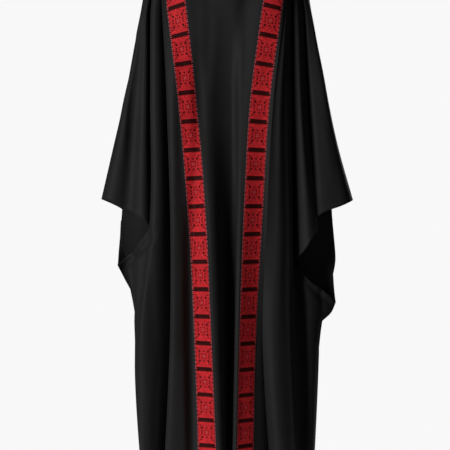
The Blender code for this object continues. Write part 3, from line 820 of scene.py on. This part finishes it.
def stitchPlaces(side):
    count = stitches["across"]
    lines = bandLines(frontPanel, side, count)
    repeats, heights = zip(*barHeights)
    rows = range(int(repeats[0] * stitches["repeat"]), int(repeats[-1] * stitches["repeat"]))
    levels = []
    for row in rows:
        k = (row - 0.5) / stitches["repeat"]
        z = smoothAt(-k, [-repeat for repeat in repeats], heights)
        lean = math.radians(float(np.interp(k, repeats, bandLean[side])))
        ends = [np.interp(-z, -lines[:, j, 2], lines[:, j, 0]) for j in (0, -1)]
        width = abs(ends[1] - ends[0])
        levels.append([z + math.tan(lean) * (j / count - 0.5) * width for j in range(count + 1)])
    levels = np.array(levels)
    grid = np.zeros(levels.shape + (3,))
    for j in range(count + 1):
        for axis in (0, 1):
            grid[:, j, axis] = np.interp(-levels[:, j], -lines[:, j, 2], lines[:, j, axis])
        grid[:, j, 2] = levels[:, j]
    tops, end = lines[0, :, 2] - stitches["topGap"], cloth["hemZ"] + stitches["endGap"]
    fine = bandSurface(grid)
    found = noPlaces()
    for r, row in enumerate(rows[:-1]):
        for c in range(count):
            letter = threadAt(row, c)
            past = levels[r, c] > tops[c] or levels[r, c + 1] > tops[c + 1] or levels[r + 1, c] < end
            if letter is None or past:
                continue
            corners = fine[r, c], fine[r, c + 1], fine[r + 1, c], fine[r + 1, c + 1]
            along = (corners[1] - corners[0] + corners[3] - corners[2]) / 2
            up = (corners[0] - corners[2] + corners[1] - corners[3]) / 2
            out = np.cross(along, up)
            if out[1] > 0:
                out = -out
            found["middle"].append(sum(corners) / 4)
            found["along"].append(along / np.linalg.norm(along))
            found["out"].append(out / np.linalg.norm(out))
            found["size"].append((np.linalg.norm(along), np.linalg.norm(up), stitches["height"]))
            found["thread"].append(threadLetters.index(letter))
    return found


def besideEdge(shape, key, fromTop, away, columns=None):
    # points of the cloth this far in from an edge, and the ways out of it
    index = shape["indexes"][key]
    index = (index if fromTop else index[::-1])[: stitches["rowsIn"]]
    if columns is not None:
        index = index[:, columns]
    points, normals = shape["points"][index], shape["normals"][index]
    steps = np.linalg.norm(np.diff(points, axis=0), axis=2)
    run = np.concatenate([np.zeros((1, steps.shape[1])), np.cumsum(steps, axis=0)])
    return [np.array([alongAt(values[:, c], run[:, c], [away])[0] for c in range(index.shape[1])])
            for values in (points, normals)]


def alongAt(values, run, where):
    return np.stack([np.interp(where, run, values[:, axis]) for axis in range(3)], axis=1)


def hemPlaces(line, outs, found):
    run = np.concatenate([[0], np.cumsum(np.linalg.norm(np.diff(line, axis=0), axis=1))])
    spots = np.arange(stitches["hemStep"], run[-1], stitches["hemStep"])
    half = stitches["hemStitch"][0] / 2
    along = alongAt(line, run, spots + half) - alongAt(line, run, spots - half)
    found["middle"] += list(alongAt(line, run, spots))
    found["along"] += list(along / np.linalg.norm(along, axis=1, keepdims=True))
    found["out"] += list(alongAt(outs, run, spots))
    found["size"] += [stitches["hemStitch"]] * len(spots)
    found["thread"] += [0] * len(spots)


def crossShape():
    # one cross stitch: its two strands cross at the middle and go in at the corners
    points = [(0, 0, 1)]
    for x, y in ((1, 1), (0, 1), (-1, 1), (-1, 0), (-1, -1), (0, -1), (1, -1), (1, 0)):
        points.append((x / 2, y / 2, 0.5 if x and y else 0))
    faces = [(0, k, k % 8 + 1) for k in range(1, 9)]
    return addSurface("crossShape", points, faces, 2, 1)


def strandShape():
    # one straight stitch, an arched and rounded strand
    points = []
    for along, lift in ((-0.5, -0.18), (-0.4, 0.27), (0, 0.45), (0.4, 0.27), (0.5, -0.18)):
        for angle in (math.pi * turn / 4 for turn in range(5)):
            points.append((along, math.cos(angle) / 2, lift + math.sin(angle) / 2))
    return addSurface("strandShape", points, gridFaces(np.arange(25).reshape(5, 5)), 2, 1)


def sewingTree(name, materials):
    tree = bpy.data.node_groups.new(name, "GeometryNodeTree")
    for label, way, kind in (("Places", "INPUT", "Geometry"), ("Stitch", "INPUT", "Object"),
                             ("Unevenness", "INPUT", "Float"), ("Sewn", "OUTPUT", "Geometry")):
        tree.interface.new_socket(label, in_out=way, socket_type="NodeSocket" + kind)
    given = tree.nodes.new("NodeGroupInput").outputs

    def read(kind, name):
        node = addNode(tree, "GeometryNodeInputNamedAttribute", {"data_type": kind}, Name=name)
        return node.outputs["Attribute"]

    stitch = addNode(tree, "GeometryNodeObjectInfo", Object=given["Stitch"])
    turn = addNode(tree, "FunctionNodeAxesToRotation", {"primary_axis": "Z", "secondary_axis": "X"},
                   {0: read("FLOAT_VECTOR", "out"), 1: read("FLOAT_VECTOR", "along")})
    least, most = (addMath(tree, operation, 1, given["Unevenness"]) for operation in ("SUBTRACT", "ADD"))
    chance = addNode(tree, "FunctionNodeRandomValue", {"data_type": "FLOAT"}, {2: least, 3: most},
                     Seed=stitches["seed"])
    size = addNode(tree, "ShaderNodeVectorMath", {"operation": "SCALE"}, {0: read("FLOAT_VECTOR", "size")},
                   Scale=chance.outputs[1])
    join = tree.nodes.new("GeometryNodeJoinGeometry")
    for k, material in enumerate(materials):
        chosen = addNode(tree, "FunctionNodeCompare", {"data_type": "INT", "operation": "EQUAL"},
                         {2: read("INT", "thread"), 3: k})
        placed = addNode(tree, "GeometryNodeInstanceOnPoints", Points=given["Places"],
                         Selection=chosen.outputs["Result"], Instance=stitch.outputs["Geometry"],
                         Rotation=turn.outputs["Rotation"], Scale=size.outputs["Vector"])
        real = addNode(tree, "GeometryNodeRealizeInstances", Geometry=placed.outputs["Instances"])
        coloured = addNode(tree, "GeometryNodeSetMaterial", Geometry=real.outputs["Geometry"],
                           Material=material)
        tree.links.new(coloured.outputs["Geometry"], join.inputs["Geometry"])
    addNode(tree, "NodeGroupOutput", Sewn=join.outputs["Geometry"])
    return tree


def sew(name, places, shape, materials, unevenness):
    mesh = bpy.data.meshes.new(name + "Places")
    mesh.from_pydata([tuple(point) for point in places["middle"]], [], [])
    for key in ("along", "out", "size"):
        values = np.array(places[key], float).ravel()
        mesh.attributes.new(key, "FLOAT_VECTOR", "POINT").data.foreach_set("vector", values)
    mesh.attributes.new("thread", "INT", "POINT").data.foreach_set("value", places["thread"])
    carrier = addObject(name + "Places", mesh)
    tree = sewingTree(name + "Sewing", materials)
    sewing = carrier.modifiers.new("sewing", "NODES")
    sewing.node_group = tree
    inputs = {item.name: item.identifier for item in tree.interface.items_tree if item.in_out == "INPUT"}
    sewing[inputs["Stitch"]] = shape
    sewing[inputs["Unevenness"]] = unevenness
    carrier.update_tag()
    graph = bpy.context.evaluated_depsgraph_get()
    sewn = bpy.data.meshes.new_from_object(carrier.evaluated_get(graph))
    sewn.name = name
    for spare in ("along", "out", "size", "thread"):
        if spare in sewn.attributes:
            sewn.attributes.remove(sewn.attributes[spare])
    piece = addObject(name, sewn)
    for spare in (carrier, shape):
        bpy.data.objects.remove(spare)
    return piece


crepe = {
    "grain": (1500, 2, 0.6),  # pebbles: how many to a metre, detail and roughness of the noise
    "patches": (9, 3, 0.55),
    "patchShades": (0.88, 1.14),
    "grainShades": (0.8, 1.2),
    "wearAndSheen": 0.1,              # how much paler the turned edges are, partly as wear and partly as a painted sheen on the rims
    "rough": (0.66, 0.80),
    "bump": (0.5, 0.00012),   # strength and height
    "sheen": 0.03,
    "specular": 0.2,
}
thread = {
    "grain": (2600, 1, 0.5),  # strands
    "patches": (60, 2, 0.5),
    "patchShades": (0.86, 1.14),
    "rough": (0.5, 0.7),
    "bump": (0.6, 0.0001),
    "sheen": 0,
    "specular": 0.06,
}
noiseEnds = {"shade": (0.3, 0.7), "rough": (0.2, 0.8)}    # the noise heights that get the least and the most
colours = {
    "blackCrepe": (0.0126, 0.0122, 0.0121, 1),
    "redThread": (0.60, 0.024, 0.030, 1),
    "darkThread": (0.036, 0.004, 0.004, 1),
    "maroonThread": (0.16, 0.008, 0.010, 1),
    "roseThread": (0.56, 0.08, 0.09, 1),
    "paleThread": (0.50, 0.13, 0.15, 1),
    "groundCloth": (0.03, 0.005, 0.005, 1),
    "blackThread": (0.05, 0.05, 0.055, 1),
}


def noise(tree, scale, detail, roughness):
    place = addNode(tree, "ShaderNodeTexCoord").outputs["Object"]
    return addNode(tree, "ShaderNodeTexNoise", Vector=place, Scale=scale, Detail=detail,
                   Roughness=roughness).outputs["Fac"]


def ranged(tree, value, use, ends):
    start, end = noiseEnds[use]
    return addNode(tree, "ShaderNodeMapRange", Value=value, From_Min=start, From_Max=end,
                   To_Min=ends[0], To_Max=ends[1]).outputs["Result"]


def makeMaterial(name, look):
    material, tree, shader = newMaterial(name)
    grain, patches = noise(tree, *look["grain"]), noise(tree, *look["patches"])
    shade = ranged(tree, patches, "shade", look["patchShades"])
    if "wearAndSheen" in look:
        shade = addMath(tree, "MULTIPLY", shade, ranged(tree, grain, "shade", look["grainShades"]))
        # the turned edges painted paler: partly wear, partly a painted sheen standing in for light caught on
        # the rims
        wornAndSheen = addNode(tree, "ShaderNodeAttribute", {"attribute_name": "edge"}).outputs["Fac"]
        shade = addMath(tree, "MULTIPLY_ADD", wornAndSheen, look["wearAndSheen"], shade)
    tone = addNode(tree, "ShaderNodeMix", {"data_type": "RGBA", "blend_type": "MULTIPLY"},
                   {6: colours[name], 7: shade}, Factor=1)
    strength, height = look["bump"]
    bump = addNode(tree, "ShaderNodeBump", Strength=strength, Distance=height, Height=grain)
    tree.links.new(tone.outputs[2], shader.inputs["Base Color"])
    tree.links.new(ranged(tree, grain, "rough", look["rough"]), shader.inputs["Roughness"])
    tree.links.new(bump.outputs["Normal"], shader.inputs["Normal"])
    shader.inputs["Sheen Weight"].default_value = look["sheen"]
    shader.inputs["Specular IOR Level"].default_value = look["specular"]
    return material


studio = {
    "eye": (-0.003975, -3.6, -0.742),
    "lens": 108.68,
    "sensor": 36,
    "backdrop": (0.939, 0.939, 0.939, 1),
    "ambient": (0.008, 0.008, 0.008, 1),
    "floorZ": -1.475,
    "floorRadius": 0.85,
    "floorSides": 96,
    "floorColour": (0.8, 0.8, 0.8, 1),
    "floorRough": 0.9,
    "aim": (0, 0, -0.75),    # what the lamps point at
}
# Lamps: name, degrees to the photo's left of the camera, degrees up, distance, size and power
lamps = (
    ("key", 42, 10, 4, 1.5, 128),
    ("fill", -30, 12, 4, 2, 11),
    ("back", 205, 20, 4, 2, 60),
)


def makeStudio():
    scene = bpy.context.scene
    world = scene.world or bpy.data.worlds.new("studio")
    scene.world = world
    world.use_nodes = True
    tree = world.node_tree
    tree.nodes.clear()
    path = addNode(tree, "ShaderNodeLightPath")
    seen, soft = (addNode(tree, "ShaderNodeBackground", Color=studio[key]).outputs["Background"]
                  for key in ("backdrop", "ambient"))
    mix = addNode(tree, "ShaderNodeMixShader", None, {0: path.outputs["Is Camera Ray"], 1: soft, 2: seen})
    addNode(tree, "ShaderNodeOutputWorld", Surface=mix.outputs["Shader"])
    camera = addObject("camera", bpy.data.cameras.new("camera"))
    camera.location, camera.rotation_euler = studio["eye"], (math.pi / 2, 0, 0)
    camera.data.lens, camera.data.sensor_width = studio["lens"], studio["sensor"]
    scene.camera = camera
    for name, aside, up, away, size, power in lamps:
        lamp = bpy.data.lights.new(name, "AREA")
        lamp.energy, lamp.size = power, size
        holder = addObject(name, lamp)
        aside, up = math.radians(aside), math.radians(up)
        way = Vector((-math.sin(aside) * math.cos(up), -math.cos(aside) * math.cos(up), math.sin(up)))
        holder.location = Vector(studio["aim"]) + way * away
        holder.rotation_euler = way.to_track_quat("Z", "Y").to_euler()
    scene.view_settings.view_transform = "Standard"
    bpy.ops.mesh.primitive_circle_add(vertices=studio["floorSides"], radius=studio["floorRadius"],
                                      fill_type="NGON")
    floor = bpy.context.object
    floor.name, floor.location = "floor", (0, 0, studio["floorZ"])
    material, tree, shader = newMaterial("paleFloor")
    shader.inputs["Base Color"].default_value = studio["floorColour"]
    shader.inputs["Roughness"].default_value = studio["floorRough"]
    floor.data.materials.append(material)


materials = {name: makeMaterial(name, crepe if name == "blackCrepe" else thread) for name in colours}
bandThreads = [materials[name + "Thread"] for name in ("red", "dark", "maroon", "rose", "pale")]
front, frontShape = makePanel(frontPanel, frontCreases, materials["blackCrepe"])
back, backShape = makePanel(backPanel, backCreases, materials["blackCrepe"])
for piece, node in ((front, "front"), (back, "back")):
    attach(piece, "root")
    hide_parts(node)
print("front and back made")

for side in sides:
    ground = makeBandGround(side, materials["groundCloth"])
    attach(ground, "root")
    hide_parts(f"band_{side}")
    name = f"band{side.title()}Stitches"
    sewn = sew(name, stitchPlaces(side), crossShape(), bandThreads, stitches["uneven"])
    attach(sewn, "root")
print("bands made")

hemAway, cuffAway = stitches["hemAway"], stitches["cuffAway"]
for panel, shape in ((frontPanel, frontShape), (backPanel, backShape)):
    found = noPlaces()
    for key in ("body", ("right", "wing"), ("left", "wing")):
        hemPlaces(*besideEdge(shape, key, False, hemAway), found)
    for side in sides:
        hemPlaces(*besideEdge(shape, (side, "sleeve"), False, cuffAway), found)
        hemPlaces(*besideEdge(shape, (side, "wing"), True, cuffAway), found)
    columns = [c for c, x in enumerate(shape["places"]) if abs(x) < shoulders["neckHalfWidth"]]
    hemPlaces(*besideEdge(shape, "body", True, cuffAway, columns), found)
    name = f"{panel['name']}HemStitches"
    sewn = sew(name, found, strandShape(), [materials["blackThread"]], stitches["hemUneven"])
    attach(sewn, "root")
print("hems sewn")

makeStudio()
print("studio made")
